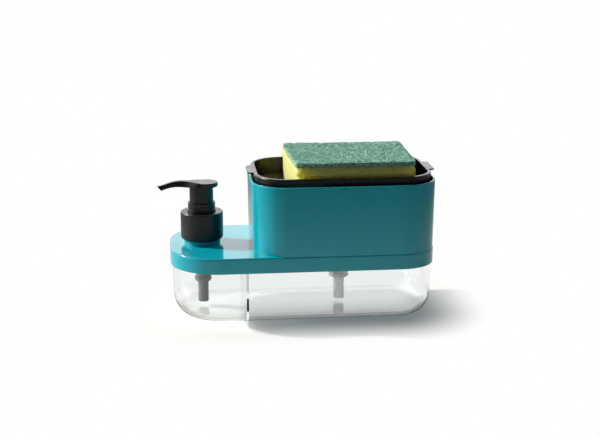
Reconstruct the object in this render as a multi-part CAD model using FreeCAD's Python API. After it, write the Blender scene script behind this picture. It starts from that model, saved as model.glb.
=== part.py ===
"""Soap pump caddy: a clear two-chamber tank under a one-piece cover.

The cover is a shallow lid with an open tower on its right. A hand-soap pump is screwed to the lid's left.
A second pump hangs from the tower's floor and carries a tray with a sponge, so pressing the sponge works it.
Millimetres, +Z up, +X along the length, -Y the front. The origin is the middle of the tank's base.
"""
import FreeCAD
import Part

import math
import os

from FreeCAD import Vector

# Lid of the cover
LID_LENGTH = 180.0
LID_DEPTH = 90.0
LID_TOP = 48.4
LID_LEFT_CORNER = 34.5
LID_RIGHT_CORNER = 25.0
LID_PLATE = 2.0
LID_WALL = 1.4
LID_EDGE_ROUND = 1.2
SKIRT_HEIGHT = 10.6

# Tower of the cover, from the end of the shelf that carries the hand-soap pump
PUMP_SHELF_LENGTH = 55.8
TOWER_HEIGHT = 46.9
TOWER_INSET = 0.4
TOWER_FLARE = 0.6
TOWER_LEFT_CORNER = 24.4
TOWER_WALL = 1.6
TOWER_RIM_ROUND = 0.5

# Tank
TANK_GAP = 0.4
TANK_WALL = 2.0
TANK_FLOOR = 2.4
TANK_FILLET = 16.0
TANK_FILLET_SHARE = 0.9
PARTITION_SETBACK = 4.8
PARTITION_WALL = 1.6
GATE_RADIUS = 1.6
GATE_HEIGHT = 0.4

# Parts that both pumps share
NECK_RADIUS = 11.6
NECK_WALL = 2.0
CYLINDER_RADIUS = 5.0
CYLINDER_WALL = 0.9
CYLINDER_DROP = 27.4
CYLINDER_RING_HEIGHT = 3.2
FLANGE_INSET = 0.7
FLANGE_THICK = 1.5
GASKET_THICK = 1.2
GASKET_INSET = 0.4
STEM_RADIUS = 2.4
STEM_WALL = 1.0
STEM_TENON_STEP = 0.5
PISTON_LENGTH = 5.0
PISTON_WAIST = 0.7
DIP_TUBE_RADIUS = 3.7
DIP_TUBE_WALL = 1.0
DIP_TUBE_LAP = 5.0
SEAT_THICK = 2.0
SEAT_BORE_SHARE = 0.75
BALL_RADIUS = 2.0
BALL_LIFT = 1.2
BALL_SIDE_GAP = 0.5
BALL_SEAT_GAP = 0.05
CAGE_THICK = 1.0
CAGE_BORE_SHARE = 0.7
SPRING_WIRE = 0.7
SPRING_PITCH = 1.9
SPRING_SIDE_GAP = 0.35
SPRING_END_GAP = 0.1
CHAPLET_WEB = 1.0
CHAPLET_SHOULDER_GAP = 0.4
COLLAR_PLATE = 1.8
COLLAR_CHAMFER = 1.4
COLLAR_ROUND = 0.8

# Hand-soap pump on the lid
PUMP_INSET = 22.3
PUMP_TRAVEL = 9.0
PUMP_RING_STEP = 0.9
PUMP_TUBE_CLEARANCE = 4.0
PUMP_SPRING_PACK = 5.83
BOSS_STEP = 1.0
BOSS_HEIGHT = 2.8
NECK_HEIGHT = 10.3
COLLAR_WALL = 2.7
COLLAR_HEIGHT = 19.3
COLLAR_LIFT = 0.2
CHAPLET_STEP = 2.2
CHAPLET_WALL = 1.0
CHAPLET_RISE = 6.5
CHAPLET_GROOVES = 2
CHAPLET_GROOVE_DEPTH = 0.4
CHAPLET_GROOVE_WIDTH = 0.7
CHAPLET_CHAMFER = 0.2
SHROUD_WALL = 1.3
SHROUD_LAP = 0.4
HEAD_STOP_GAP = 1.8
HEAD_HEIGHT = 3.1
HEAD_ROUND = 0.8
HEAD_SOCKET_WALL = 1.4
HEAD_SOCKET_LENGTH = 8.0
HEAD_STEM_LAP = 0.6
CROWN_OVERHANG = 0.4
CROWN_SHIFT = 2.85
NOZZLE_REACH = 30.2
NOZZLE_BORE = 1.0
# Along the reach, mid-height and height against the head's height, then half-widths at the top and at the
# foot against the crown's radius
NOZZLE_STATION_SHARES = [
    (-0.020, 0.53, 0.88, 0.85, 0.93),
    (0.073, 0.56, 1.06, 0.80, 0.97),
    (0.222, 0.62, 1.18, 0.45, 0.84),
    (0.377, 0.69, 1.28, 0.25, 0.55),
    (0.563, 0.68, 1.22, 0.20, 0.42),
    (0.750, 0.31, 1.06, 0.18, 0.36),
    (0.947, -0.26, 1.30, 0.17, 0.31),
]
NOZZLE_TILTS = [0.0, 0.0, 0.0, 0.0, 6.0, 25.0, 43.0]
NOZZLE_CORNER_SHARE = 0.2

# Tray pump in the tower
TRAY_TRAVEL = 2.7
TRAY_RING_STEP = 1.8
TRAY_TUBE_CLEARANCE = 3.0
TRAY_SPRING_PACK = 6.63
TRAY_NECK_HEIGHT = 5.6
TRAY_COLLAR_WALL = 1.7
TRAY_COLLAR_HEIGHT = 11.0
TRAY_COLLAR_LIFT = 0.6
TRAY_CHAPLET_WALL = 3.6
TRAY_CHAPLET_RISE = 3.0

# Tray, inside the tower's rim
TRAY_END_GAP = 0.6
TRAY_SIDE_GAP = 3.75
TRAY_RIM_HEIGHT = 2.4
TRAY_RIM_ROUND = 1.0
TRAY_RIM_WIDTH = 2.35
TRAY_RIM_OVERHANG = 0.6
TRAY_WELL = 16.1
TRAY_FLOOR = 1.6
TRAY_FILLET = 6.6
TRAY_SOCKET_WALL = 2.6
TRAY_SOCKET_LENGTH = 8.0
TRAY_STEM_STOP = 0.6
OUTLET_BORE = 1.4
TAB_REACH = 3.9
TAB_WIDTH = 25.0
TAB_THICK = 1.1
TAB_DROP = 0.3
TAB_CHAMFER = 2.0
TAB_LAP = 1.0
TAB_STOP_GAP = 0.3

# Sponge, inside the tray
SPONGE_LEFT_GAP = 23.15
SPONGE_RIGHT_GAP = 10.75
SPONGE_SIDE_GAP = 0.7
SPONGE_CORNER_GAP = 0.55
SPONGE_CORNER = 3.0
SPONGE_LIFT = 0.2
FOAM_RISE = 7.3
FOAM_FOOT_SHARE = 0.375
PAD_THICK = 3.0

# Clearances and workshop values
MOVING_GAP = 0.3
RUNNING_FIT = 0.06
SEATED_FIT = 0.02
OVERRUN = 1.0
LEVEL_TOLERANCE = 0.001
FULL_TURN = 360.0
QUARTERS = 4
STEPS_PER_QUARTER = 24
LEAST_SPRING_TURNS = 2

# Cover and tank
skirt_bottom = LID_TOP - SKIRT_HEIGHT
plate_under = LID_TOP - LID_PLATE
lid_end = LID_LENGTH / 2
tower_left = PUMP_SHELF_LENGTH - lid_end
tower_right = lid_end - TOWER_INSET
tower_middle = (tower_left + tower_right) / 2
tower_top = LID_TOP + TOWER_HEIGHT
tower_root = LID_TOP - LID_EDGE_ROUND
pump_x = PUMP_INSET - lid_end
partition_x = tower_left - PARTITION_SETBACK

# Both pumps
neck_bore = NECK_RADIUS - NECK_WALL
collar_bore = NECK_RADIUS + MOVING_GAP
flange_radius = NECK_RADIUS - FLANGE_INSET
chaplet_shoulder = NECK_RADIUS - CHAPLET_SHOULDER_GAP
cylinder_bore = CYLINDER_RADIUS - CYLINDER_WALL
cylinder_foot = LID_TOP - CYLINDER_DROP
stem_bore = STEM_RADIUS - STEM_WALL
stem_guide = STEM_RADIUS + RUNNING_FIT
seat_bore = SEAT_BORE_SHARE * BALL_RADIUS
cage_bore = CAGE_BORE_SHARE * BALL_RADIUS
seat_low = cylinder_foot + DIP_TUBE_LAP
seat_top = seat_low + SEAT_THICK
ball_z = seat_top + math.sqrt(BALL_RADIUS ** 2 - seat_bore ** 2) + BALL_SEAT_GAP
cage_low = ball_z + BALL_RADIUS + BALL_LIFT + MOVING_GAP
cage_top = cage_low + CAGE_THICK

# Hand-soap pump
boss_top = LID_TOP + BOSS_HEIGHT
neck_top = boss_top + NECK_HEIGHT
flange_low = neck_top + GASKET_THICK
piston_low = cage_top + PUMP_TRAVEL + PUMP_SPRING_PACK
collar_low = boss_top + COLLAR_LIFT
collar_top = collar_low + COLLAR_HEIGHT
chaplet_top = collar_top + CHAPLET_RISE
chaplet_radius = NECK_RADIUS - CHAPLET_STEP
chaplet_bore = chaplet_radius - CHAPLET_WALL
shroud_radius = chaplet_bore - MOVING_GAP
shroud_low = chaplet_top - SHROUD_LAP
crown_radius = shroud_radius + CROWN_OVERHANG
head_under = chaplet_top + PUMP_TRAVEL + HEAD_STOP_GAP
head_top = head_under + HEAD_HEIGHT
stem_top = head_under + HEAD_STEM_LAP

# Tray pump, tray and sponge
tray_neck_top = LID_TOP + TRAY_NECK_HEIGHT
tray_flange_low = tray_neck_top + GASKET_THICK
tray_piston_low = cage_top + TRAY_TRAVEL + TRAY_SPRING_PACK
tray_collar_low = LID_TOP + TRAY_COLLAR_LIFT
tray_collar_top = tray_collar_low + TRAY_COLLAR_HEIGHT
tray_chaplet_radius = STEM_RADIUS + TRAY_CHAPLET_WALL
tray_top = tower_top + TRAY_TRAVEL + TAB_STOP_GAP + TAB_THICK + TAB_DROP
tray_floor_top = tray_top - TRAY_WELL
tray_under = tray_floor_top - TRAY_FLOOR
tray_inside_fillet = TRAY_FILLET - TRAY_FLOOR
tray_stem_top = tray_floor_top - TRAY_STEM_STOP
mouth_inset = TOWER_WALL - TOWER_FLARE
tray_left = tower_left + mouth_inset + TRAY_END_GAP
tray_right = tower_right - mouth_inset - TRAY_END_GAP
tray_depth = LID_DEPTH - 2 * (TOWER_INSET + mouth_inset + TRAY_SIDE_GAP)
tray_left_corner = TOWER_LEFT_CORNER - mouth_inset - TRAY_END_GAP
tray_right_corner = LID_RIGHT_CORNER - TOWER_INSET - mouth_inset - TRAY_END_GAP
sponge_left = tray_left + TRAY_RIM_WIDTH + SPONGE_LEFT_GAP
sponge_right = tray_right - TRAY_RIM_WIDTH - SPONGE_RIGHT_GAP
sponge_depth = tray_depth - 2 * (TRAY_RIM_WIDTH + SPONGE_SIDE_GAP)
foam_low = tray_floor_top + SPONGE_LIFT
foam_top = tray_top + FOAM_RISE
UP = Vector(0, 0, 1)


def outline(low_x, high_x, depth, left_corner, right_corner, z):
    """Closed rounded rectangle at height z, with its own radius at each end."""
    half = depth / 2
    corners = [
        (high_x - right_corner, half - right_corner, right_corner),
        (low_x + left_corner, half - left_corner, left_corner),
        (low_x + left_corner, left_corner - half, left_corner),
        (high_x - right_corner, right_corner - half, right_corner),
    ]
    arcs = []
    for quarter, (x, y, radius) in enumerate(corners):
        points = []
        for step in range(3):
            angle = (quarter + step / 2) * math.pi / 2
            points.append(Vector(x + radius * math.cos(angle), y + radius * math.sin(angle), z))
        arcs.append(Part.Arc(*points))
    edges = []
    for quarter, arc in enumerate(arcs):
        following = arcs[(quarter + 1) % QUARTERS]
        edges.append(arc.toShape())
        edges.append(Part.makeLine(arc.EndPoint, following.StartPoint))
    return Part.Wire(edges)


def prism(wire, height):
    """Upright solid on a flat wire."""
    return Part.Face(wire).extrude(UP * height)


def turned(x, points):
    """Solid of revolution about the upright line at x, from (radius, height) points."""
    corners = [Vector(x + radius, 0, z) for radius, z in points]
    face = Part.Face(Part.makePolygon(corners + corners[:1]))
    return face.revolve(Vector(x, 0, 0), UP, FULL_TURN)


def ring(x, outer, inner, low, high):
    """Plain tube about the upright line at x."""
    return turned(x, [(inner, low), (outer, low), (outer, high), (inner, high)])


def rod(x, radius, low, high):
    """Plain upright cylinder at x."""
    return Part.makeCylinder(radius, high - low, Vector(x, 0, low), UP)


def level_edges(shape, z):
    """Edges that lie wholly at height z."""
    flat = []
    for edge in shape.Edges:
        box = edge.BoundBox
        if max(abs(box.ZMin - z), abs(box.ZMax - z)) < LEVEL_TOLERANCE:
            flat.append(edge)
    return flat


def round_edges(shape, z, radius):
    """Edges that are circles of one radius at height z."""
    found = []
    for edge in level_edges(shape, z):
        if isinstance(edge.Curve, Part.Circle) and abs(edge.Curve.Radius - radius) < LEVEL_TOLERANCE:
            found.append(edge)
    return found


def lid_outline(inset, z):
    """The lid's outline, drawn in by inset."""
    return outline(
        inset - lid_end,
        lid_end - inset,
        LID_DEPTH - 2 * inset,
        LID_LEFT_CORNER - inset,
        LID_RIGHT_CORNER - inset,
        z,
    )


def tower_outline(inset, z):
    """The tower's outline at height z: it flares a little towards its open top."""
    grow = TOWER_FLARE * (z - LID_TOP) / TOWER_HEIGHT - inset
    return outline(
        tower_left - grow,
        tower_right + grow,
        LID_DEPTH - 2 * TOWER_INSET + 2 * grow,
        TOWER_LEFT_CORNER + grow,
        LID_RIGHT_CORNER - TOWER_INSET + grow,
        z,
    )


def tray_outline(inset, z):
    """The tray rim's outline, drawn in by inset."""
    return outline(
        tray_left + inset,
        tray_right - inset,
        tray_depth - 2 * inset,
        tray_left_corner - inset,
        tray_right_corner - inset,
        z,
    )


def make_cover():
    """Lid, tower and both pump necks, moulded in one."""
    lid = prism(lid_outline(0, skirt_bottom), SKIRT_HEIGHT)
    lid = lid.makeFillet(LID_EDGE_ROUND, level_edges(lid, LID_TOP))
    tower = Part.makeLoft([tower_outline(0, tower_root), tower_outline(0, tower_top)], True, True)
    well = Part.makeLoft(
        [tower_outline(TOWER_WALL, LID_TOP), tower_outline(TOWER_WALL, tower_top + OVERRUN)], True, True
    )
    hollow = prism(lid_outline(LID_WALL, skirt_bottom - OVERRUN), plate_under - skirt_bottom + OVERRUN)
    shell = lid.fuse(tower).cut(well).cut(hollow)
    necks = [
        ring(pump_x, NECK_RADIUS + BOSS_STEP, neck_bore, plate_under, boss_top),
        ring(pump_x, NECK_RADIUS, neck_bore, plate_under, neck_top),
        ring(tower_middle, NECK_RADIUS, neck_bore, plate_under, tray_neck_top),
    ]
    bores = [rod(x, neck_bore, plate_under - OVERRUN, LID_TOP + OVERRUN) for x in (pump_x, tower_middle)]
    cover = shell.cut(bores).multiFuse(necks).removeSplitter()
    return cover.makeFillet(TOWER_RIM_ROUND, level_edges(cover, tower_top))


def rounded_tub(inset, low, high, fillet):
    """Upright tub-shaped solid inside the lid's outline, round at its foot."""
    block = prism(lid_outline(inset, low), high - low)
    return block.makeFillet(fillet, level_edges(block, low))


def make_tank():
    """Clear tank, split into two chambers by a moulded partition."""
    outer_inset = LID_WALL + TANK_GAP
    inner_inset = outer_inset + TANK_WALL
    fillet = min(TANK_FILLET, TANK_FILLET_SHARE * (LID_RIGHT_CORNER - outer_inset))
    outside = rounded_tub(outer_inset, 0, plate_under, fillet)
    inside = rounded_tub(inner_inset, TANK_FLOOR, plate_under + OVERRUN, fillet - TANK_WALL)
    wall = Part.makeBox(
        PARTITION_WALL, LID_DEPTH, plate_under, Vector(partition_x - PARTITION_WALL / 2, -LID_DEPTH / 2, 0)
    )
    gate = rod(0, GATE_RADIUS, TANK_FLOOR / 2, TANK_FLOOR + GATE_HEIGHT)
    return outside.cut(inside).multiFuse([wall.common(outside), gate]).removeSplitter()


def make_cylinder(x, flange_bottom, ring_step):
    """Pump cylinder: flange, bore, cage and seat of the inlet ball, and the dip tube's socket."""
    ring_radius = CYLINDER_RADIUS + ring_step
    ring_low = cylinder_foot + CYLINDER_RING_HEIGHT / 3
    ring_top = cylinder_foot + CYLINDER_RING_HEIGHT
    socket = DIP_TUBE_RADIUS + SEATED_FIT
    chamber = BALL_RADIUS + BALL_SIDE_GAP
    flange_top = flange_bottom + FLANGE_THICK
    return turned(x, [
        (socket, cylinder_foot),
        (CYLINDER_RADIUS, cylinder_foot),
        (CYLINDER_RADIUS, ring_low),
        (ring_radius, ring_low),
        (ring_radius, ring_top),
        (CYLINDER_RADIUS, ring_top),
        (CYLINDER_RADIUS, flange_bottom),
        (flange_radius, flange_bottom),
        (flange_radius, flange_top),
        (cylinder_bore, flange_top),
        (cylinder_bore, cage_top),
        (cage_bore, cage_top),
        (cage_bore, cage_low),
        (chamber, cage_low),
        (chamber, seat_top),
        (seat_bore, seat_top),
        (seat_bore, seat_low),
        (socket, seat_low),
    ])


def make_gasket(x, low):
    """Flat sealing ring between a neck and a cylinder's flange."""
    inner = CYLINDER_RADIUS + MOVING_GAP
    return ring(x, NECK_RADIUS - GASKET_INSET, inner, low, low + GASKET_THICK)


def make_dip_tube(x, clearance):
    """Tube from the cylinder's socket down to a clearance above the tank's floor."""
    return ring(x, DIP_TUBE_RADIUS, DIP_TUBE_RADIUS - DIP_TUBE_WALL, TANK_FLOOR + clearance, seat_low)


def make_ball(x):
    """Ball of the inlet valve, on its seat."""
    return Part.makeSphere(BALL_RADIUS, Vector(x, 0, ball_z))


def make_piston(x, low):
    """Piston with a wiping lip at each end and a waist between."""
    lip = PISTON_LENGTH / 5
    radius = cylinder_bore - RUNNING_FIT
    inner = STEM_RADIUS - STEM_TENON_STEP + RUNNING_FIT
    return turned(x, [
        (inner, low),
        (radius, low),
        (radius, low + lip),
        (radius - PISTON_WAIST, low + 2 * lip),
        (radius - PISTON_WAIST, low + 3 * lip),
        (radius, low + 4 * lip),
        (radius, low + PISTON_LENGTH),
        (inner, low + PISTON_LENGTH),
    ])


def make_stem(x, low, top):
    """Hollow stem: a thinner tenon through the piston and a shoulder on it."""
    shoulder = low + PISTON_LENGTH
    tenon = STEM_RADIUS - STEM_TENON_STEP
    return turned(x, [
        (stem_bore, low),
        (tenon, low),
        (tenon, shoulder),
        (STEM_RADIUS, shoulder),
        (STEM_RADIUS, top),
        (stem_bore, top),
    ])


def biarc(start, start_way, end, end_way):
    """Two tangent arcs between two points with unit directions."""
    chord = end - start
    ways = start_way + end_way
    spread = 2 * (1 - start_way.dot(end_way))
    along = chord.dot(ways)
    reach = (math.sqrt(along ** 2 + spread * chord.dot(chord)) - along) / spread
    knees = [start + start_way * reach, end - end_way * reach]
    middle = (knees[0] + knees[1]) * 0.5
    arcs = []
    for first, knee, last in ((start, knees[0], middle), (middle, knees[1], end)):
        half_chord = (first + last) * 0.5
        cosine = (last - first).Length / 2 / reach
        top = half_chord + (knee - half_chord) * (cosine / (1 + cosine))
        arcs.append(Part.Arc(first, top, last).toShape())
    return arcs


def make_spring(x, low, high, name):
    """Coil spring as one tube, and its least gap to itself."""
    radius = cylinder_bore - SPRING_SIDE_GAP - SPRING_WIRE / 2
    base = low + SPRING_END_GAP + SPRING_WIRE / 2
    rise = high - low - 2 * SPRING_END_GAP - SPRING_WIRE
    turns = max(LEAST_SPRING_TURNS, int(rise / SPRING_PITCH))
    pitch = rise / turns

    def point(turn):
        angle = turn * 2 * math.pi
        return Vector(x + radius * math.cos(angle), radius * math.sin(angle), base + pitch * turn)

    def way(turn):
        angle = turn * 2 * math.pi
        climb = pitch / (2 * math.pi)
        return Vector(-radius * math.sin(angle), radius * math.cos(angle), climb).normalize()

    edges = []
    for quarter in range(turns * QUARTERS):
        turn = quarter / QUARTERS
        following = (quarter + 1) / QUARTERS
        edges += biarc(point(turn), way(turn), point(following), way(following))
    path = Part.Wire(edges)
    section = Part.Wire(Part.makeCircle(SPRING_WIRE / 2, point(0), way(0)))
    spring = path.makePipeShell([section], True, False)
    steps = QUARTERS * STEPS_PER_QUARTER
    places = [point(step / steps) for step in range(turns * steps + 1)]
    least = min(
        (a - b).Length
        for index, a in enumerate(places)
        for b in places[index + steps // 2:]
    )
    expected = path.Length * math.pi * (SPRING_WIRE / 2) ** 2
    print(name, "least gap to itself", round(least - SPRING_WIRE, 3),
          "volume against its section times its length", round(spring.Volume / expected, 4))
    return spring


def make_collar(x, wall, low, top, guide):
    """Screw collar over a neck, open at its top for the guide ring that it holds down."""
    radius = collar_bore + wall
    hole = guide + MOVING_GAP
    collar = turned(x, [
        (collar_bore, low),
        (radius - COLLAR_CHAMFER, low),
        (radius, low + COLLAR_CHAMFER),
        (radius, top),
        (hole, top),
        (hole, top - COLLAR_PLATE),
        (collar_bore, top - COLLAR_PLATE),
    ])
    return collar.makeFillet(COLLAR_ROUND, round_edges(collar, top, radius))


def make_chaplet():
    """Guide ring of the hand-soap pump: it takes the head's shroud and shows grooves above the collar."""
    base = flange_low + FLANGE_THICK
    shoulder_top = collar_top - COLLAR_PLATE - MOVING_GAP
    points = [
        (stem_guide, base),
        (chaplet_shoulder, base),
        (chaplet_shoulder, shoulder_top),
        (chaplet_radius, shoulder_top),
    ]
    pitch = CHAPLET_RISE / (CHAPLET_GROOVES + 1)
    for groove in range(1, CHAPLET_GROOVES + 1):
        middle = collar_top + groove * pitch
        low = middle - CHAPLET_GROOVE_WIDTH / 2
        high = middle + CHAPLET_GROOVE_WIDTH / 2
        floor = chaplet_radius - CHAPLET_GROOVE_DEPTH
        points += [(chaplet_radius, low), (floor, low), (floor, high), (chaplet_radius, high)]
    points += [
        (chaplet_radius, chaplet_top - CHAPLET_CHAMFER),
        (chaplet_radius - CHAPLET_CHAMFER, chaplet_top),
        (chaplet_bore, chaplet_top),
        (chaplet_bore, base + CHAPLET_WEB),
        (stem_guide, base + CHAPLET_WEB),
    ]
    return turned(pump_x, points)


def make_tray_chaplet():
    """Guide ring of the tray pump, with a plain bore for the stem."""
    base = tray_flange_low + FLANGE_THICK
    shoulder_top = tray_collar_top - COLLAR_PLATE - MOVING_GAP
    top = tray_collar_top + TRAY_CHAPLET_RISE
    return turned(tower_middle, [
        (stem_guide, base),
        (chaplet_shoulder, base),
        (chaplet_shoulder, shoulder_top),
        (tray_chaplet_radius, shoulder_top),
        (tray_chaplet_radius, top),
        (stem_guide, top),
    ])


def rounded(corners, radius):
    """Closed flat wire through the corners, each one rounded."""
    arcs = []
    for index, corner in enumerate(corners):
        following = corners[(index + 1) % len(corners)]
        back = (corners[index - 1] - corner).normalize()
        on = (following - corner).normalize()
        half = back.getAngle(on) / 2
        reach = radius / math.tan(half)
        middle = corner + (back + on).normalize() * (radius / math.sin(half) - radius)
        arcs.append(Part.Arc(corner + back * reach, middle, corner + on * reach))
    edges = []
    for index, arc in enumerate(arcs):
        following = arcs[(index + 1) % len(arcs)]
        edges.append(arc.toShape())
        edges.append(Part.makeLine(arc.EndPoint, following.StartPoint))
    return Part.Wire(edges)


def nozzle_section(share, tilt):
    """One cross-section of the head and nozzle, square to their run, with its middle and its direction."""
    along, middle, tall, top_share, foot_share = share
    lean = math.radians(tilt)
    across = Vector(0, 1, 0)
    upward = Vector(-math.sin(lean), 0, math.cos(lean))
    place = Vector(pump_x - along * NOZZLE_REACH, 0, head_under + middle * HEAD_HEIGHT)
    rise = upward * (tall * HEAD_HEIGHT / 2)
    top = across * (top_share * crown_radius)
    foot = across * (foot_share * crown_radius)
    corners = [place - rise - foot, place - rise + foot, place + rise + top, place + rise - top]
    return rounded(corners, NOZZLE_CORNER_SHARE * HEAD_HEIGHT), place, across.cross(upward)


def make_head():
    """Pump head: round crown that narrows into a drooping hollow nozzle, shroud and stem socket, in one."""
    crown_x = pump_x + CROWN_SHIFT
    crown = rod(crown_x, crown_radius, head_under, head_top)
    rims = round_edges(crown, head_top, crown_radius) + round_edges(crown, head_under, crown_radius)
    crown = crown.makeFillet(HEAD_ROUND, rims)
    stations = [nozzle_section(*pair) for pair in zip(NOZZLE_STATION_SHARES, NOZZLE_TILTS)]
    nozzle = Part.makeLoft([wire for wire, place, way in stations], True, False)
    start = Vector(pump_x, 0, head_under + HEAD_HEIGHT / 2)
    places = [(start, stations[0][2])]
    places += [(place, way) for wire, place, way in stations if place.x < pump_x - STEM_RADIUS]
    last_place, last_way = places[-1]
    places.append((last_place - last_way * OVERRUN, last_way))
    bores = [Part.Wire(Part.makeCircle(NOZZLE_BORE, place, way)) for place, way in places]
    channel = Part.makeLoft(bores, True, False)
    socket = STEM_RADIUS + SEATED_FIT
    shroud = ring(pump_x, shroud_radius, shroud_radius - SHROUD_WALL, shroud_low, head_under + HEAD_ROUND)
    sleeve_low = head_under - HEAD_SOCKET_LENGTH
    sleeve = rod(pump_x, socket + HEAD_SOCKET_WALL, sleeve_low, head_under + HEAD_ROUND)
    head = crown.multiFuse([nozzle, shroud, sleeve])
    well = rod(pump_x, socket, sleeve_low - OVERRUN, stem_top)
    riser = rod(pump_x, stem_bore, stem_top - OVERRUN, head_under + HEAD_HEIGHT / 2)
    return head.cut([well, riser, channel]).removeSplitter()


def make_tab(side):
    """Flat finger tab at one end of the tray's rim."""
    end = tray_right if side > 0 else tray_left
    root = end - side * TAB_LAP
    tip = end + side * TAB_REACH
    half = TAB_WIDTH / 2
    low = tray_top - TAB_DROP - TAB_THICK
    corners = [
        Vector(root, -half, low),
        Vector(tip - side * TAB_CHAMFER, -half, low),
        Vector(tip, TAB_CHAMFER - half, low),
        Vector(tip, half - TAB_CHAMFER, low),
        Vector(tip - side * TAB_CHAMFER, half, low),
        Vector(root, half, low),
    ]
    return prism(Part.makePolygon(corners + corners[:1]), TAB_THICK)


def make_tray():
    """Sponge tray: a shallow tub with a rounded rim, two tabs and a stem socket under its outlet."""
    body = prism(tray_outline(TRAY_RIM_OVERHANG, tray_under), tray_top - TRAY_RIM_ROUND - tray_under)
    body = body.makeFillet(TRAY_FILLET, level_edges(body, tray_under))
    rim = prism(tray_outline(0, tray_top - TRAY_RIM_HEIGHT), TRAY_RIM_HEIGHT)
    rim = rim.makeFillet(TRAY_RIM_ROUND, level_edges(rim, tray_top))
    inside = prism(tray_outline(TRAY_RIM_WIDTH, tray_floor_top), TRAY_WELL + OVERRUN)
    inside = inside.makeFillet(tray_inside_fillet, level_edges(inside, tray_floor_top))
    socket_low = tray_under - TRAY_SOCKET_LENGTH
    socket = rod(tower_middle, STEM_RADIUS + TRAY_SOCKET_WALL, socket_low, tray_under + TRAY_FLOOR / 2)
    tray = body.multiFuse([rim, make_tab(-1), make_tab(1)]).cut(inside).fuse(socket)
    bores = [
        rod(tower_middle, stem_guide, socket_low - OVERRUN, tray_stem_top),
        rod(tower_middle, OUTLET_BORE, tray_stem_top - OVERRUN, tray_floor_top + OVERRUN),
    ]
    return tray.cut(bores).removeSplitter()


def sponge_plan(inset, corner, z):
    """The sponge's plan at height z, drawn in by inset."""
    return outline(sponge_left + inset, sponge_right - inset, sponge_depth - 2 * inset, corner, corner, z)


def squeezed_corner():
    """Radius of the foam's corners that keeps them inside the tray's round right corners."""
    tray_corner = tray_right_corner - TRAY_RIM_WIDTH
    across = tray_corner - SPONGE_RIGHT_GAP
    deep = tray_corner - SPONGE_SIDE_GAP
    limit = tray_corner - SPONGE_CORNER_GAP
    excess = across ** 2 + deep ** 2 - limit ** 2
    span = across + deep - limit
    radius = span - math.sqrt(max(span ** 2 - excess, 0))
    return max(radius, SPONGE_CORNER)


def make_foam():
    """Foam block of the sponge, squeezed at its corners and foot by the tray and free above its rim."""
    ease = tray_inside_fillet
    free_low = tray_top + MOVING_GAP
    corner = squeezed_corner()
    plans = [sponge_plan(ease, FOAM_FOOT_SHARE * corner, foam_low), sponge_plan(0, corner, foam_low + ease)]
    foot = Part.makeLoft(plans, True, True)
    body = prism(sponge_plan(0, corner, foam_low + ease), free_low - foam_low - ease)
    crown = prism(sponge_plan(0, SPONGE_CORNER, free_low), foam_top - free_low)
    return foot.multiFuse([body, crown]).removeSplitter()


def make_pad():
    """Scouring pad on the foam's top."""
    return prism(sponge_plan(0, SPONGE_CORNER, foam_top), PAD_THICK)


def build():
    """All pieces by node name."""
    return {
        "tank": make_tank(),
        "cover": make_cover(),
        "pump_cylinder": make_cylinder(pump_x, flange_low, PUMP_RING_STEP),
        "pump_gasket": make_gasket(pump_x, neck_top),
        "pump_dip_tube": make_dip_tube(pump_x, PUMP_TUBE_CLEARANCE),
        "pump_inlet_ball": make_ball(pump_x),
        "pump_spring": make_spring(pump_x, cage_top, piston_low, "pump_spring"),
        "pump_piston": make_piston(pump_x, piston_low),
        "pump_stem": make_stem(pump_x, piston_low, stem_top),
        "pump_chaplet": make_chaplet(),
        "pump_collar": make_collar(pump_x, COLLAR_WALL, collar_low, collar_top, chaplet_radius),
        "pump_head": make_head(),
        "tray_pump_cylinder": make_cylinder(tower_middle, tray_flange_low, TRAY_RING_STEP),
        "tray_pump_gasket": make_gasket(tower_middle, tray_neck_top),
        "tray_pump_dip_tube": make_dip_tube(tower_middle, TRAY_TUBE_CLEARANCE),
        "tray_pump_inlet_ball": make_ball(tower_middle),
        "tray_pump_spring": make_spring(tower_middle, cage_top, tray_piston_low, "tray_pump_spring"),
        "tray_pump_piston": make_piston(tower_middle, tray_piston_low),
        "tray_pump_stem": make_stem(tower_middle, tray_piston_low, tray_stem_top),
        "tray_pump_chaplet": make_tray_chaplet(),
        "tray_pump_collar": make_collar(
            tower_middle, TRAY_COLLAR_WALL, tray_collar_low, tray_collar_top, tray_chaplet_radius
        ),
        "tray": make_tray(),
        "sponge_foam": make_foam(),
        "scouring_pad": make_pad(),
    }


def main():
    """Writes one file per piece."""
    os.makedirs("parts", exist_ok=True)
    for name, shape in build().items():
        shape.exportStep("parts/" + name + ".step")
        box = shape.BoundBox
        print(name, "valid", shape.isValid(), "solids", len(shape.Solids), "volume", round(shape.Volume, 1),
              "z", round(box.ZMin, 2), round(box.ZMax, 2), "x", round(box.XMin, 2), round(box.XMax, 2))


main()
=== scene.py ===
"""Soap pump caddy: the looks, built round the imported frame."""

import math
import random

import bpy
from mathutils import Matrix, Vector, noise


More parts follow.
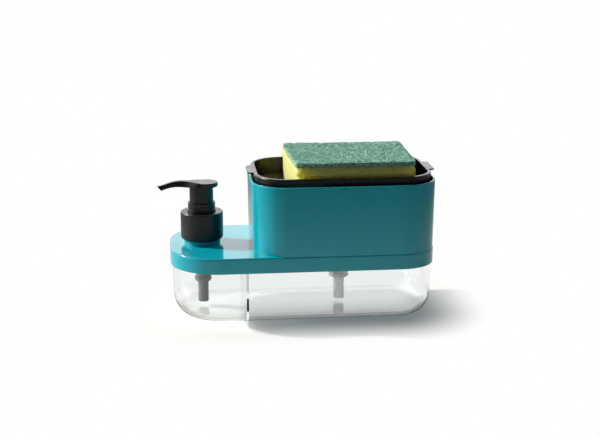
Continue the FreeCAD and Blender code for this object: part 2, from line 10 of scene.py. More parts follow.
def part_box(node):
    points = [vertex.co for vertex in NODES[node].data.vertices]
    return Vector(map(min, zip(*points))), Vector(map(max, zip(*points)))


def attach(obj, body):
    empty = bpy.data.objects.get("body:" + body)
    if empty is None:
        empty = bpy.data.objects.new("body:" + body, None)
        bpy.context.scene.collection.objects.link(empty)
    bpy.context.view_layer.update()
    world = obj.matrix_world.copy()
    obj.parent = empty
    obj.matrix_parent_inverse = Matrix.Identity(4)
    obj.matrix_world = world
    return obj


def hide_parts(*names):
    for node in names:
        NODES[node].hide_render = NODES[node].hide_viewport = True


MM = 0.001
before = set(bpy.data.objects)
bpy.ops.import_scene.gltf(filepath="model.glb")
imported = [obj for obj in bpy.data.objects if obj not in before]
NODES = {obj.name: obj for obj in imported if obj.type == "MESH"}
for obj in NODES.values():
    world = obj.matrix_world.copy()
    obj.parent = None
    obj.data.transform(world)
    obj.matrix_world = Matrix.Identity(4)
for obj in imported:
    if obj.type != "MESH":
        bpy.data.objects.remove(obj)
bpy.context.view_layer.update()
SCENE = bpy.context.scene
SCENE.view_settings.view_transform = "Standard"


# Camera of the photograph, in metres and degrees
CAMERA_AIM = Vector((0.356, 0.0, 62.97)) * MM
CAMERA_DISTANCE, CAMERA_PITCH, CAMERA_YAW = 0.843, 14.306, 5.962
CAMERA_SENSOR, CAMERA_LENS = 36.0, 72.69
CAMERA_NEAR, CAMERA_FAR = 0.01, 20.0


def make_camera():
    pitch, yaw = math.radians(CAMERA_PITCH), math.radians(CAMERA_YAW)
    back = Vector((-math.sin(yaw) * math.cos(pitch), -math.cos(yaw) * math.cos(pitch), math.sin(pitch)))
    data = bpy.data.cameras.new("photo_camera")
    data.sensor_width = CAMERA_SENSOR
    data.lens = CAMERA_LENS
    data.clip_start, data.clip_end = CAMERA_NEAR, CAMERA_FAR
    camera = bpy.data.objects.new("photo_camera", data)
    SCENE.collection.objects.link(camera)
    camera.location = CAMERA_AIM + back * CAMERA_DISTANCE
    camera.rotation_euler = (-back).to_track_quat("-Z", "Y").to_euler()
    SCENE.camera = camera


# Node trees
FULL_BAND = (0.0, 1.0)
NOISE_BAND = (0.3, 0.7)


def feed(tree, value, socket):
    """Puts a number, or another node's output, into a socket."""
    if isinstance(value, bpy.types.NodeSocket):
        tree.links.new(value, socket)
    else:
        socket.default_value = value


def math_node(tree, operation, *values):
    node = tree.nodes.new("ShaderNodeMath")
    node.operation = operation
    for socket, value in zip(node.inputs, values):
        feed(tree, value, socket)
    return node.outputs[0]


def map_range(tree, value, low, high, band=FULL_BAND, smooth=False):
    """Spreads a band of the value from low to high and holds it at the ends."""
    node = tree.nodes.new("ShaderNodeMapRange")
    if smooth:
        node.interpolation_type = "SMOOTHSTEP"
    entries = {"Value": value, "From Min": band[0], "From Max": band[1], "To Min": low, "To Max": high}
    for name, entry in entries.items():
        feed(tree, entry, node.inputs[name])
    return node.outputs["Result"]


class Tree:
    """Short hand for a material's nodes."""

    def __init__(self, name):
        self.material = bpy.data.materials.new(name)
        self.material.use_nodes = True
        self.tree = self.material.node_tree
        self.bsdf = self.tree.nodes["Principled BSDF"]

    def add(self, kind, **values):
        node = self.tree.nodes.new(kind)
        for key, value in values.items():
            if key in node.inputs:
                node.inputs[key].default_value = value
            else:
                setattr(node, key, value)
        return node

    def link(self, out, into):
        self.tree.links.new(out, into)

    def coords(self, stretch=(1.0, 1.0, 1.0)):
        """Object coordinates in millimetres, stretched along the axes."""
        texture = self.add("ShaderNodeTexCoord")
        mapping = self.add("ShaderNodeMapping", Scale=[share / MM for share in stretch])
        self.link(texture.outputs["Object"], mapping.inputs["Vector"])
        return mapping.outputs["Vector"]

    def noise(self, place, scale, detail=3.0, rough=0.55):
        node = self.add("ShaderNodeTexNoise", Scale=scale, Detail=detail, Roughness=rough)
        self.link(place, node.inputs["Vector"])
        return node.outputs["Fac"]

    def cells(self, place, scale):
        node = self.add("ShaderNodeTexVoronoi", Scale=scale)
        self.link(place, node.inputs["Vector"])
        return node.outputs["Distance"]

    def blend(self, factor, dark, light, band=NOISE_BAND):
        """Colour that goes from dark to light over a band of the factor."""
        node = self.add("ShaderNodeValToRGB")
        for element, position, colour in zip(node.color_ramp.elements, band, (dark, light)):
            element.position = position
            element.color = (*colour, 1.0)
        self.link(factor, node.inputs["Fac"])
        return node.outputs["Color"]

    def range(self, factor, low, high, band=NOISE_BAND):
        return map_range(self.tree, factor, low, high, band)

    def bump(self, height, strength, depth_mm, under=None):
        node = self.add("ShaderNodeBump", Strength=strength, Distance=depth_mm * MM)
        self.link(height, node.inputs["Height"])
        if under is not None:
            self.link(under, node.inputs["Normal"])
        return node.outputs["Normal"]

    def put(self, out, socket):
        self.link(out, self.bsdf.inputs[socket])

    def set(self, **values):
        for key, value in values.items():
            self.bsdf.inputs[key.replace("_", " ")].default_value = value


# Materials: scales are per millimetre, depths in millimetres
FLOW_STRETCH = (0.6, 0.6, 0.25)
SMEAR_BAND = (0.25, 0.75)
BLOOM_BAND = (0.35, 0.75)
PORE_SHADE_BAND = (0.05, 0.45)
METAL_SMOOTHER, METAL_ROUGHER = 0.08, 0.1
TANK_CAST, TANK_CAST_DENSITY = (0.40, 0.52, 0.49, 1.0), 14.0


def moulded(name, dark, light, rough, spread, peel, grain=0.0):
    """Moulded plastic: faint flow marks in its colour, uneven gloss, a soft skin and the mould's grain."""
    tree = Tree(name)
    place = tree.coords()
    flow = tree.noise(tree.coords(FLOW_STRETCH), scale=0.03, detail=2.0)
    tree.put(tree.blend(flow, dark, light), "Base Color")
    smear = tree.noise(place, scale=0.09, detail=4.0, rough=0.6)
    tree.put(tree.range(smear, rough - spread, rough + spread, SMEAR_BAND), "Roughness")
    normal = tree.bump(tree.noise(place, scale=0.35, detail=2.0), strength=0.2, depth_mm=peel)
    if grain:
        fine = tree.noise(place, scale=3.2, detail=2.0, rough=0.6)
        normal = tree.bump(fine, strength=0.35, depth_mm=grain, under=normal)
    tree.put(normal, "Normal")
    tree.set(IOR=1.5)
    return tree.material


def clear_plastic():
    """Clear tank plastic: faint waviness of the moulding, a light haze and a green-grey cast in its depth."""
    tree = Tree("clear_plastic")
    tree.set(Transmission_Weight=1.0, IOR=1.55)
    place = tree.coords()
    wave = tree.noise(place, scale=0.05, detail=2.0)
    tree.put(tree.blend(wave, (0.965, 0.975, 0.972), (0.985, 0.99, 0.988)), "Base Color")
    haze = tree.noise(place, scale=0.25)
    tree.put(tree.range(haze, 0.0, 0.035), "Roughness")
    tree.put(tree.bump(wave, strength=0.1, depth_mm=0.12), "Normal")
    cast = tree.add("ShaderNodeVolumeAbsorption", Density=TANK_CAST_DENSITY, Color=TANK_CAST)
    tree.link(cast.outputs["Volume"], tree.tree.nodes["Material Output"].inputs["Volume"])
    return tree.material


def cloudy_plastic():
    """Milky plastic of the tray pump: light comes through it, scattered."""
    tree = Tree("white_plastic")
    place = tree.coords()
    cloud = tree.noise(place, scale=0.12, detail=4.0)
    tree.put(tree.blend(cloud, (0.91, 0.91, 0.87), (0.96, 0.96, 0.93)), "Base Color")
    tree.put(tree.range(tree.noise(place, scale=0.4), 0.38, 0.46), "Roughness")
    tree.put(tree.bump(tree.noise(place, scale=0.9, detail=2.0), strength=0.2, depth_mm=0.02), "Normal")
    tree.set(Transmission_Weight=0.72, IOR=1.3, Specular_IOR_Level=0.4)
    return tree.material


def metal(name, dark, light, rough, stretch):
    """Drawn or rolled metal with fine lines and a few dull spots."""
    tree = Tree(name)
    spots = tree.noise(tree.coords(), scale=0.6, detail=4.0)
    tree.put(tree.blend(spots, dark, light), "Base Color")
    lines = tree.noise(tree.coords((1.0, 1.0, stretch)), scale=2.0)
    tree.put(tree.range(lines, rough - METAL_SMOOTHER, rough + METAL_ROUGHER), "Roughness")
    tree.put(tree.bump(lines, strength=0.2, depth_mm=0.01), "Normal")
    tree.set(Metallic=1.0)
    return tree.material


def rubber():
    """Dull gasket rubber with a fine pebbled skin and a little bloom."""
    tree = Tree("seal_rubber")
    place = tree.coords()
    bloom = tree.noise(place, scale=0.3, detail=5.0, rough=0.65)
    tree.put(tree.blend(bloom, (0.020, 0.020, 0.021), (0.05, 0.05, 0.051), BLOOM_BAND), "Base Color")
    tree.put(tree.range(bloom, 0.6, 0.8), "Roughness")
    tree.put(tree.bump(tree.cells(place, scale=2.2), strength=0.3, depth_mm=0.04), "Normal")
    return tree.material


def foam_skin():
    """Open foam: pale walls, pores darkened with painted shade, and slow changes of yellow. Light spreads
    inside it.
    """
    tree = Tree("yellow_foam")
    place = tree.coords()
    fine = tree.cells(place, scale=1.5)
    tint = tree.noise(place, scale=0.06)
    walls = tree.add("ShaderNodeMix", data_type="RGBA", blend_type="MULTIPLY")
    walls.inputs["Factor"].default_value = 1.0
    # Painted shade: the yellow is darkened in the pores of the cell pattern.
    tree.link(tree.blend(tint, (0.91, 0.83, 0.17), (0.96, 0.89, 0.225)), walls.inputs["A"])
    tree.link(tree.blend(fine, (0.68, 0.66, 0.52), (1.0, 1.0, 1.0), PORE_SHADE_BAND), walls.inputs["B"])
    tree.put(walls.outputs["Result"], "Base Color")
    tree.put(tree.range(tint, 0.85, 0.95, FULL_BAND), "Roughness")
    grain = tree.bump(tree.noise(place, scale=3.0), strength=0.35, depth_mm=0.1)
    tree.put(tree.bump(fine, strength=0.6, depth_mm=0.25, under=grain), "Normal")
    tree.set(Specular_IOR_Level=0.2, Sheen_Weight=0.55, Sheen_Roughness=0.5,
             Subsurface_Weight=0.85, Subsurface_Scale=1.0, Subsurface_Radius=(0.022, 0.020, 0.003))
    return tree.material


def pad_fibre(name, dark, light):
    """Fibres of the scouring pad: one shade, with resin and grit on them."""
    tree = Tree(name)
    place = tree.coords()
    grit = tree.noise(place, scale=1.1, detail=4.0, rough=0.7)
    tree.put(tree.blend(grit, dark, light), "Base Color")
    tree.put(tree.range(grit, 0.45, 0.75), "Roughness")
    tree.put(tree.bump(tree.noise(place, scale=6.0, detail=2.0), strength=0.5, depth_mm=0.05), "Normal")
    tree.set(Specular_IOR_Level=0.35, Sheen_Weight=0.2, Sheen_Roughness=0.5)
    return tree.material


# Paint and edges of the CAD pieces
BLACK = (0.0085, 0.0085, 0.009), (0.012, 0.012, 0.0125)
TRAY_BLACK = (0.009, 0.0085, 0.008), (0.013, 0.0125, 0.0115)
TEAL = (0.004, 0.39, 0.49), (0.006, 0.425, 0.53)
GREY = (0.085, 0.09, 0.092), (0.11, 0.115, 0.117)
WIRE_STEEL = (0.42, 0.42, 0.43), (0.62, 0.62, 0.63)
BALL_STEEL = (0.55, 0.55, 0.56), (0.68, 0.68, 0.69)
WELD_WITHIN_MM = 0.001
FLAT_WITHIN, EDGE_FROM = 0.2, 40.0
EDGE_SEGMENTS = 2
EDGE_WIDTHS_MM = {"cover": 0.35, "tray": 0.4, "pump_head": 0.25, "pump_collar": 0.3, "pump_chaplet": 0.12}


def paint(material, *names):
    for name in names:
        mesh = NODES[name].data
        mesh.materials.clear()
        mesh.materials.append(material)


def paint_pieces():
    paint(clear_plastic(), "tank")
    paint(moulded("teal_plastic", *TEAL, rough=0.10, spread=0.03, peel=0.03), "cover")
    satin = moulded("black_satin", *BLACK, rough=0.30, spread=0.05, peel=0.03, grain=0.03)
    paint(satin, "pump_head", "pump_chaplet", "pump_stem")
    paint(moulded("black_collar", *BLACK, rough=0.34, spread=0.05, peel=0.03, grain=0.04), "pump_collar")
    paint(moulded("black_gloss", *TRAY_BLACK, rough=0.28, spread=0.05, peel=0.03), "tray")
    grey = moulded("grey_plastic", *GREY, rough=0.4, spread=0.06, peel=0.02, grain=0.02)
    paint(grey, "pump_cylinder", "pump_dip_tube")
    paint(cloudy_plastic(), "pump_piston", "tray_pump_cylinder", "tray_pump_dip_tube", "tray_pump_piston",
          "tray_pump_stem", "tray_pump_chaplet", "tray_pump_collar")
    wire = metal("spring_steel", *WIRE_STEEL, rough=0.26, stretch=0.1)
    paint(wire, "pump_spring", "tray_pump_spring")
    ball = metal("valve_steel", *BALL_STEEL, rough=0.16, stretch=1.0)
    paint(ball, "pump_inlet_ball", "tray_pump_inlet_ball")
    paint(rubber(), "pump_gasket", "tray_pump_gasket")


def soften(node, width_mm):
    """Breaks a moulding's sharp edges, so that they catch the light."""
    piece = NODES[node]
    weld = piece.modifiers.new("weld", "WELD")
    weld.merge_threshold = WELD_WITHIN_MM * MM
    flat = piece.modifiers.new("flat", "DECIMATE")
    flat.decimate_type = "DISSOLVE"
    flat.angle_limit = math.radians(FLAT_WITHIN)
    edge = piece.modifiers.new("edge", "BEVEL")
    edge.width = width_mm * MM
    edge.segments = EDGE_SEGMENTS
    edge.limit_method = "ANGLE"
    edge.angle_limit = math.radians(EDGE_FROM)
    shade = piece.modifiers.new("shade", "WEIGHTED_NORMAL")
    shade.keep_sharp = False


# Sponge, in millimetres: the tray squeezes the foam's corners, which are sharper above its rim
SQUEEZED_CORNER, FREE_CORNER, FOOT_CORNER = 5.5, 3.0, 3.0
FREE_FROM, FREE_AT = 0.3, 2.0
FOOT_EASE, END_EASE = 5.0, 1.6
FOAM_STEP = 0.55
FOAM_BULGE = 0.9
FOAM_UNDER_ROWS = 34
PORES = ((1.7, 0.50, 0.35), (4.6, 0.30, 0.90))
PORE_LEAST, PORE_MORE, PORE_SCATTER = 0.55, 0.9, 5.1
SPONGE_SPREAD, FOAM_SPREAD = 0.027, 0.042


def add_piece(name, verts, faces, materials, body):
    """A new mesh piece, given in millimetres, that rides on a body."""
    mesh = bpy.data.meshes.new(name)
    mesh.from_pydata([Vector(v) * MM for v in verts], [], faces)
    for material in materials:
        mesh.materials.append(material)
    piece = bpy.data.objects.new(name, mesh)
    SCENE.collection.objects.link(piece)
    for face in mesh.polygons:
        face.use_smooth = True
    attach(piece, body)
    return piece


def smooth_step(low, high, value):
    share = min(max((value - low) / (high - low), 0.0), 1.0)
    return share * share * (3.0 - 2.0 * share)


def round_ring(half_x, half_y, radius, count):
    """Evenly spaced places and outward directions round a rectangle with round corners."""
    runs = [2 * (half_y - radius), 2 * (half_x - radius)] * 2
    arc = math.pi * radius / 2
    total = sum(runs) + 4 * arc
    corners = [(half_x - radius, half_y - radius), (radius - half_x, half_y - radius),
               (radius - half_x, radius - half_y), (half_x - radius, radius - half_y)]
    ring = []
    for step in range(count):
        left = total * step / count
        for side in range(4):
            angle = side * math.pi / 2
            out = Vector((math.cos(angle), math.sin(angle)))
            centre = Vector(corners[side])
            if left < runs[side]:
                along = Vector((-out.y, out.x))
                ring.append((centre + out * radius - along * (runs[side] - left), out))
                break
            left -= runs[side]
            if left < arc:
                turn = angle + left / radius
                out = Vector((math.cos(turn), math.sin(turn)))
                ring.append((centre + out * radius, out))
                break
            left -= arc
    return ring


def pore(place):
    """Depth of the foam's pores at a place: many small ones and a few large ones."""
    depth = 0.0
    for size, reach, deep in PORES:
        near, centres = noise.voronoi(place / size)
        share = near[0] / (reach * (PORE_LEAST + PORE_MORE * abs(noise.noise(centres[0] * PORE_SCATTER))))
        if share < 1.0:
            depth = max(depth, deep * (1.0 - share * share))
    return depth


def ring_faces(first, second, count):
    """Faces between two rings of points, the second one above or outside the first."""
    return [(first + i, first + (i + 1) % count, second + (i + 1) % count, second + i) for i in range(count)]


def make_foam():
    """Rings of points, first outwards over the foam's underside and then up its sides."""
    low, high = [Vector(corner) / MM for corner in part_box("sponge_foam")]
    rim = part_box("tray")[1].z / MM
    middle, half = (low + high) / 2, (high - low) / 2
    count = int(2 * (high.x - low.x + high.y - low.y) / FOAM_STEP)
    verts, faces = [], []

    def add_ring(end, side, corner, z, shrink=1.0, dig=1.0, free=0.0):
        first = len(verts)
        for place, out in round_ring(half.x - end, half.y - side, corner, count):
            spot = Vector((middle.x + place.x * shrink, middle.y + place.y * shrink, z))
            # The right end keeps inside the tray and only widens above its rim
            lean = FOAM_SPREAD * (free if place.x > 0.0 else 1.0)
            spot.x += place.x * lean * place.y * shrink * shrink / half.y
            depth = dig * pore(spot)
            if shrink < 1.0:
                verts.append((spot.x, spot.y, z + depth))
            else:
                verts.append((spot.x - out.x * depth, spot.y - out.y * depth, z))
        return first

    last = None
    for row in range(1, FOAM_UNDER_ROWS):
        ring = add_ring(END_EASE, FOOT_EASE, FOOT_CORNER, low.z, row / FOAM_UNDER_ROWS)
        if last is not None:
            faces += ring_faces(last, ring, count)
        else:
            faces.append(tuple(reversed(range(ring, ring + count))))
        last = ring
    rows = int((high.z - low.z) / FOAM_STEP)
    for row in range(rows + 1):
        z = low.z + (high.z - low.z) * row / rows
        end, side = max(END_EASE - (z - low.z), 0.0), max(FOOT_EASE - (z - low.z), 0.0)
        free = smooth_step(rim + FREE_FROM, rim + FREE_AT, z)
        swell = FOAM_BULGE * math.sin(math.pi * smooth_step(rim, high.z, z))
        corner = SQUEEZED_CORNER + (FREE_CORNER - SQUEEZED_CORNER) * free
        corner += (FOOT_CORNER - SQUEEZED_CORNER) * side / FOOT_EASE
        dig = 1.0 if 0 < row < rows else 0.0
        ring = add_ring(end - swell, side - swell, corner, z, dig=dig, free=free)
        faces += ring_faces(last, ring, count)
        last = ring
    faces.append(tuple(range(last, last + count)))
    foam = add_piece("foam_block", verts, faces, [foam_skin()], "sponge")
    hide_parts("sponge_foam")


# Scouring pad, in millimetres: a felted slab with loose fibres on its top and sides
PAD_STEP = 0.75
PAD_CORNER = 3.4
PAD_HOLLOW = 0.9
FELT_DROP = 0.35
FELT_WAVE, FELT_WAVE_LENGTH = 0.30, 21.0
FELT_LUMP, FELT_LUMP_LENGTH = 0.22, 3.1
FELT_GRAIN, FELT_GRAIN_LENGTH = 0.20, 1.2
EDGE_LEVELS = 5
EDGE_OUT, EDGE_ROUGH, EDGE_ROUGH_LENGTH = 0.15, 0.45, 1.3
FRINGE, FRINGE_LENGTH = 0.7, 1.7
FELT_GREEN = (0.05, 0.22, 0.165), (0.15, 0.42, 0.33)

FIBRES = 15000
FIBRE_SEED = 17
FIBRE_RADIUS, FIBRE_SIDES, FIBRE_POINTS = 0.12, 3, 5
FIBRE_LENGTHS, FIBRE_LIFTS, FIBRE_CURLS = (1.3, 3.4), (0.12, 0.55), (-0.6, 0.6)
FIBRE_SINK = 0.16
LOOSE_SHARE, LOOSE_RISE = 0.12, 1.6
TOP_REACH = 0.985
SIDE_EVERY = 5
SIDE_ABOVE_FOOT, SIDE_BELOW_TOP, SIDE_TILT = 0.2, 0.6, 0.28
SHADES = {
    "green_fibre_dark": ((0.05, 0.24, 0.18), (0.13, 0.40, 0.32)),
    "green_fibre_mid": ((0.25, 0.66, 0.53), (0.36, 0.77, 0.64)),
    "green_fibre_pale": ((0.55, 0.86, 0.76), (0.74, 0.93, 0.86)),
}
SHADE_SHARES = (0.30, 0.42, 0.28)


class Pad:
    """Outline and uneven surfaces of the scouring pad."""

    def __init__(self):
        low, high = [Vector(corner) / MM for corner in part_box("scouring_pad")]
        self.low, self.high = low, high
        self.middle, self.half = (low + high) / 2, (high - low) / 2

    def plan(self, u, v):
        """Place on the pad for shares from -1 to 1 along its length and across it."""
        y = v * self.half.y
        past = max(abs(y) - (self.half.y - PAD_CORNER), 0.0)
        inset = PAD_CORNER - math.sqrt(max(PAD_CORNER ** 2 - past ** 2, 0.0))
        x = u * (self.half.x - inset) * (1.0 + SPONGE_SPREAD * v)
        if v > 0:
            y -= PAD_HOLLOW * (1.0 - u * u) * v
        return Vector((self.middle.x + x, self.middle.y + y))

    def top(self, place):
        """Height of the felt's top at a place."""
        spot = Vector((place.x, place.y, 0.0))
        wave = FELT_WAVE * noise.noise(spot / FELT_WAVE_LENGTH)
        lump = FELT_LUMP * noise.noise(spot / FELT_LUMP_LENGTH)
        lump += FELT_GRAIN * noise.noise(spot / FELT_GRAIN_LENGTH)
        return self.high.z - FELT_DROP + wave + lump


def make_pad():
    """A grid of points for the felt's top, and rings of them down its sides."""
    pad = Pad()
    verts, faces = [], []
    columns = int((pad.high.x - pad.low.x) / PAD_STEP)
    rows = int((pad.high.y - pad.low.y) / PAD_STEP)
    for row in range(rows + 1):
        for column in range(columns + 1):
            place = pad.plan(2.0 * column / columns - 1.0, 2.0 * row / rows - 1.0)
            verts.append((place.x, place.y, pad.top(place)))
    stride = columns + 1
    for row in range(rows):
        for column in range(columns):
            first = row * stride + column
            faces.append((first, first + 1, first + 1 + stride, first + stride))
    edge = list(range(stride)) + [row * stride + columns for row in range(1, rows + 1)]
    edge += [rows * stride + column for column in range(columns - 1, -1, -1)]
    edge += [row * stride for row in range(rows - 1, 0, -1)]
    above = edge
    for level in range(1, EDGE_LEVELS + 1):
        share = level / EDGE_LEVELS
        ring = []
        for index in edge:
            x, y, z = verts[index]
            out = (Vector((x, y)) - pad.middle.xy).normalized()
            spot = Vector((x, y, z - share * (z - pad.low.z)))
            rough = EDGE_ROUGH * noise.noise(spot / EDGE_ROUGH_LENGTH) + EDGE_OUT
            hang = FRINGE * abs(noise.noise(Vector((x, y, 0.0)) / FRINGE_LENGTH)) * share
            ring.append(len(verts))
            verts.append((x + out.x * rough, y + out.y * rough, spot.z - hang))
        for i in range(len(ring)):
            after = (i + 1) % len(ring)
            faces.append((ring[i], ring[after], above[after], above[i]))
        above = ring
    faces.append(tuple(reversed(above)))
    slab = add_piece("scouring_felt", verts, faces, [pad_fibre("green_felt", *FELT_GREEN)], "sponge")
    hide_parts("scouring_pad")
    make_fibres(pad)


def make_fibres(pad):
    """Short bent fibres in three shades, most on the pad's top and every fifth on its sides."""
    draw = random.Random(FIBRE_SEED)
    verts, faces, shades = [], [], []

    def add_fibre(spot, out, heading, shade):
        length = draw.uniform(*FIBRE_LENGTHS)
        lift = draw.uniform(*FIBRE_LIFTS)
        curl = draw.uniform(*FIBRE_CURLS)
        loose = draw.random() < LOOSE_SHARE
        side = out.cross(heading)
        first = len(verts)
        for step in range(FIBRE_POINTS):
            share = step / (FIBRE_POINTS - 1)
            arch = 1.0 - (2.0 * share - 1.0) ** 2
            rise = (lift * share * LOOSE_RISE if loose else lift * arch) - FIBRE_SINK
            centre = spot + heading * (length * (share - 0.5)) + out * rise + side * (curl * arch)
            for corner in range(FIBRE_SIDES):
                angle = corner * 2.0 * math.pi / FIBRE_SIDES
                verts.append(tuple(centre + (side * math.cos(angle) + out * math.sin(angle)) * FIBRE_RADIUS))
        for step in range(FIBRE_POINTS - 1):
            ring = first + FIBRE_SIDES * step
            faces.extend(ring_faces(ring + FIBRE_SIDES, ring, FIBRE_SIDES))
        faces.append(tuple(range(first, first + FIBRE_SIDES)))
        faces.append(tuple(reversed(range(len(verts) - FIBRE_SIDES, len(verts)))))
        shades.extend([shade] * (FIBRE_SIDES * (FIBRE_POINTS - 1) + 2))

    perimeter = 2 * (pad.half.x + pad.half.y)
    for index in range(FIBRES):
        turn = draw.uniform(0.0, 2.0 * math.pi)
        shade = draw.choices(range(len(SHADES)), SHADE_SHARES)[0]
        if index % SIDE_EVERY:
            place = pad.plan(draw.uniform(-TOP_REACH, TOP_REACH), draw.uniform(-TOP_REACH, TOP_REACH))
            spot = Vector((place.x, place.y, pad.top(place)))
            add_fibre(spot, Vector((0, 0, 1)), Vector((math.cos(turn), math.sin(turn), 0)), shade)
        else:
            along = draw.uniform(0.0, perimeter)
            sign = 1.0 if draw.random() < 0.5 else -1.0
            height = draw.uniform(pad.low.z + SIDE_ABOVE_FOOT, pad.high.z - SIDE_BELOW_TOP)
            tilt = draw.gauss(0.0, SIDE_TILT)
            if along < 2 * pad.half.x:
                place, out = pad.plan(along / pad.half.x - 1.0, sign), Vector((0, sign, 0))
                heading = Vector((math.cos(tilt), 0, math.sin(tilt)))
            else:
                across = (along - 2 * pad.half.x) / pad.half.y - 1.0
                place, out = pad.plan(sign, across), Vector((sign, 0, 0))
                heading = Vector((0, math.cos(tilt), math.sin(tilt)))
            add_fibre(Vector((place.x, place.y, height)), out, heading, shade)
    materials = [pad_fibre(name, *colours) for name, colours in SHADES.items()]
    fibres = add_piece("scouring_fibres", verts, faces, materials, "sponge")
    fibres.data.polygons.foreach_set("material_index", shades)


# Stage: floor, world and lamps, in metres and degrees
FLOOR_SIZE, FLOOR_DROP = 6.0, 0.00006
FLOOR_CORNERS = [(-1, -1), (1, -1), (1, 1), (-1, 1)]
PAINTED_POOL_PALE, PAINTED_POOL_DIM, PAINTED_POOL_FADE = 0.90, 0.05, (0.06, 0.36)
BASE_HALF_LENGTH, BASE_HALF_DEPTH, BASE_RADIUS = 0.062, 0.017, 0.010
WHITE_OVER_SHADOW_FADE = (0.006, 0.062)
REFLECTED_GLOW_SHARE = 0.16
THROUGH_SHARES, THROUGH_SHADE_LEVELS, THROUGH_FADE = (0.75, 1.0), (0.36, 1.0), (0.016, 0.030)
THROUGH_LIT_BACK_SHIFT, THROUGH_SIDE = 0.016, 0.020
WHITE = (1, 1, 1, 1)
WORLD_BAND = (-0.5, 0.7)
WORLD_MIRRORED, WORLD_SOFT = (0.06, 1.0), (0.045, 0.30)
KEY_STRENGTH, KEY_ANGLE, KEY_HEIGHT = 4.0, 4.0, 36.0
KEY_ALONG, KEY_ACROSS = 0.93, -0.37
KEY_COLOUR = (1.0, 0.985, 0.905)
BACK_PANEL = ("back_panel", (3.2, 1.0), 7.5, (0.0, 1.4, 0.55), (0, -1, 0))
SIDE_PANEL = ("side_panel", (0.7, 0.5), 3.6, (-1.0, 0.1, 0.26), (1, 0, 0))


def past_squared(tree, value, limit):
    """Square of how far a coordinate lies past a limit on either side."""
    past = math_node(tree, "SUBTRACT", math_node(tree, "ABSOLUTE", value), limit)
    past = math_node(tree, "MAXIMUM", past, 0.0)
    return math_node(tree, "MULTIPLY", past, past)


def make_floor():
    """White paper with a painted pool of light, its colour dimming away from the object. Away from the object
    a plain white glow is painted over it and its shadow, and through the tank a painted grey shade.
    """
    mesh = bpy.data.meshes.new("floor")
    verts = [(x * FLOOR_SIZE, y * FLOOR_SIZE, -FLOOR_DROP) for x, y in FLOOR_CORNERS]
    mesh.from_pydata(verts, [], [tuple(range(len(verts)))])
    floor = bpy.data.objects.new("floor", mesh)
    SCENE.collection.objects.link(floor)
    material = bpy.data.materials.new("floor")
    material.use_nodes = True
    mesh.materials.append(material)
    tree = material.node_tree
    tree.nodes.clear()
    place = tree.nodes.new("ShaderNodeTexCoord")
    split = tree.nodes.new("ShaderNodeSeparateXYZ")
    tree.links.new(place.outputs["Object"], split.inputs[0])
    along, across = split.outputs["X"], split.outputs["Y"]

    # Distance from the outline of the tank's foot
    past_end = past_squared(tree, along, BASE_HALF_LENGTH)
    past_side = past_squared(tree, across, BASE_HALF_DEPTH)
    from_middle = math_node(tree, "SQRT", math_node(tree, "ADD", past_end, past_side))
    away = math_node(tree, "SUBTRACT", from_middle, BASE_RADIUS)

    # How much of the paper is covered by a plain white glow, and how bright that glow is. Away from the
    # object the glow is painted light over the paper and the far part of its shadow, and in reflections a
    # share of it is a faint painted light.
    path = tree.nodes.new("ShaderNodeLightPath")
    mirrored = math_node(tree, "MULTIPLY", path.outputs["Is Glossy Ray"], REFLECTED_GLOW_SHARE)
    seen = math_node(tree, "MAXIMUM", path.outputs["Is Camera Ray"], mirrored)
    seen = math_node(tree, "MULTIPLY", map_range(tree, away, 0.0, 1.0, WHITE_OVER_SHADOW_FADE, smooth=True), seen)
    # Painted shade seen through the tank: under its foot the paper glows mostly a fixed grey for the cover's
    # shadow, and it turns white sooner behind the tank than in front, as if lit behind and shaded in front.
    through = path.outputs["Is Transmission Ray"]
    shift = map_range(tree, across, 0.0, THROUGH_LIT_BACK_SHIFT, (0.0, THROUGH_SIDE))
    beyond = math_node(tree, "ADD", away, shift)
    share = map_range(tree, through, seen, map_range(tree, beyond, *THROUGH_SHARES, THROUGH_FADE))
    level = map_range(tree, through, 1.0, map_range(tree, beyond, *THROUGH_SHADE_LEVELS, THROUGH_FADE))

    paper = tree.nodes.new("ShaderNodeBsdfDiffuse")
    # Painted pool of light: the paper's colour dims away from the object, so it gives back less light there.
    tree.links.new(map_range(tree, away, PAINTED_POOL_PALE, PAINTED_POOL_DIM, PAINTED_POOL_FADE), paper.inputs["Color"])
    white = tree.nodes.new("ShaderNodeEmission")
    tree.links.new(level, white.inputs["Strength"])
    both = tree.nodes.new("ShaderNodeMixShader")
    tree.links.new(share, both.inputs["Fac"])
    tree.links.new(paper.outputs[0], both.inputs[1])
    tree.links.new(white.outputs[0], both.inputs[2])
    out = tree.nodes.new("ShaderNodeOutputMaterial")
    tree.links.new(both.outputs[0], out.inputs["Surface"])


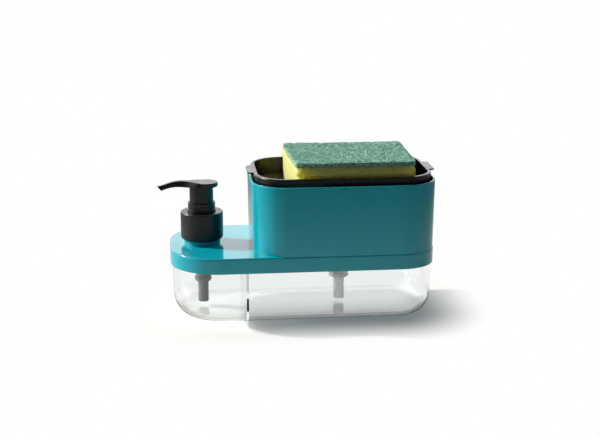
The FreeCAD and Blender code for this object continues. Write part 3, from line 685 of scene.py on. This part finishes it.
def make_world():
    """White behind everything; on the object a soft light, bright from behind and dim from the front."""
    world = bpy.data.worlds.new("studio")
    SCENE.world = world
    world.use_nodes = True
    tree = world.node_tree
    background = tree.nodes["Background"]
    background.inputs["Color"].default_value = WHITE
    heading = tree.nodes.new("ShaderNodeTexCoord")
    split = tree.nodes.new("ShaderNodeSeparateXYZ")
    tree.links.new(heading.outputs["Generated"], split.inputs[0])
    path = tree.nodes.new("ShaderNodeLightPath")
    straight = math_node(tree, "MAXIMUM", path.outputs["Is Camera Ray"], path.outputs["Is Transmission Ray"])
    mirrored = map_range(tree, split.outputs["Y"], *WORLD_MIRRORED, WORLD_BAND)
    soft = map_range(tree, split.outputs["Y"], *WORLD_SOFT, WORLD_BAND)
    lit = map_range(tree, path.outputs["Is Glossy Ray"], soft, mirrored)
    tree.links.new(map_range(tree, straight, lit, 1.0), background.inputs["Strength"])


def add_lamp(light, facing):
    lamp = bpy.data.objects.new(light.name, light)
    SCENE.collection.objects.link(lamp)
    lamp.rotation_euler = facing.to_track_quat("-Z", "Y").to_euler()
    return lamp


def make_lamps():
    """A sun from the left and behind, and panels behind and at the left that the camera doesn't see."""
    sun = bpy.data.lights.new("key", "SUN")
    sun.energy = KEY_STRENGTH
    sun.angle = math.radians(KEY_ANGLE)
    sun.color = KEY_COLOUR
    level, drop = math.cos(math.radians(KEY_HEIGHT)), math.sin(math.radians(KEY_HEIGHT))
    add_lamp(sun, Vector((KEY_ALONG * level, KEY_ACROSS * level, -drop)))
    for name, size, power, place, facing in (BACK_PANEL, SIDE_PANEL):
        panel = bpy.data.lights.new(name, "AREA")
        panel.shape = "RECTANGLE"
        panel.size, panel.size_y = size
        panel.energy = power
        lamp = add_lamp(panel, Vector(facing))
        lamp.location = place
        lamp.visible_camera = False


make_camera()
paint_pieces()
for name, width_mm in EDGE_WIDTHS_MM.items():
    soften(name, width_mm)
NODES["tank"].visible_shadow = False
make_foam()
make_pad()
make_floor()
make_world()
make_lamps()
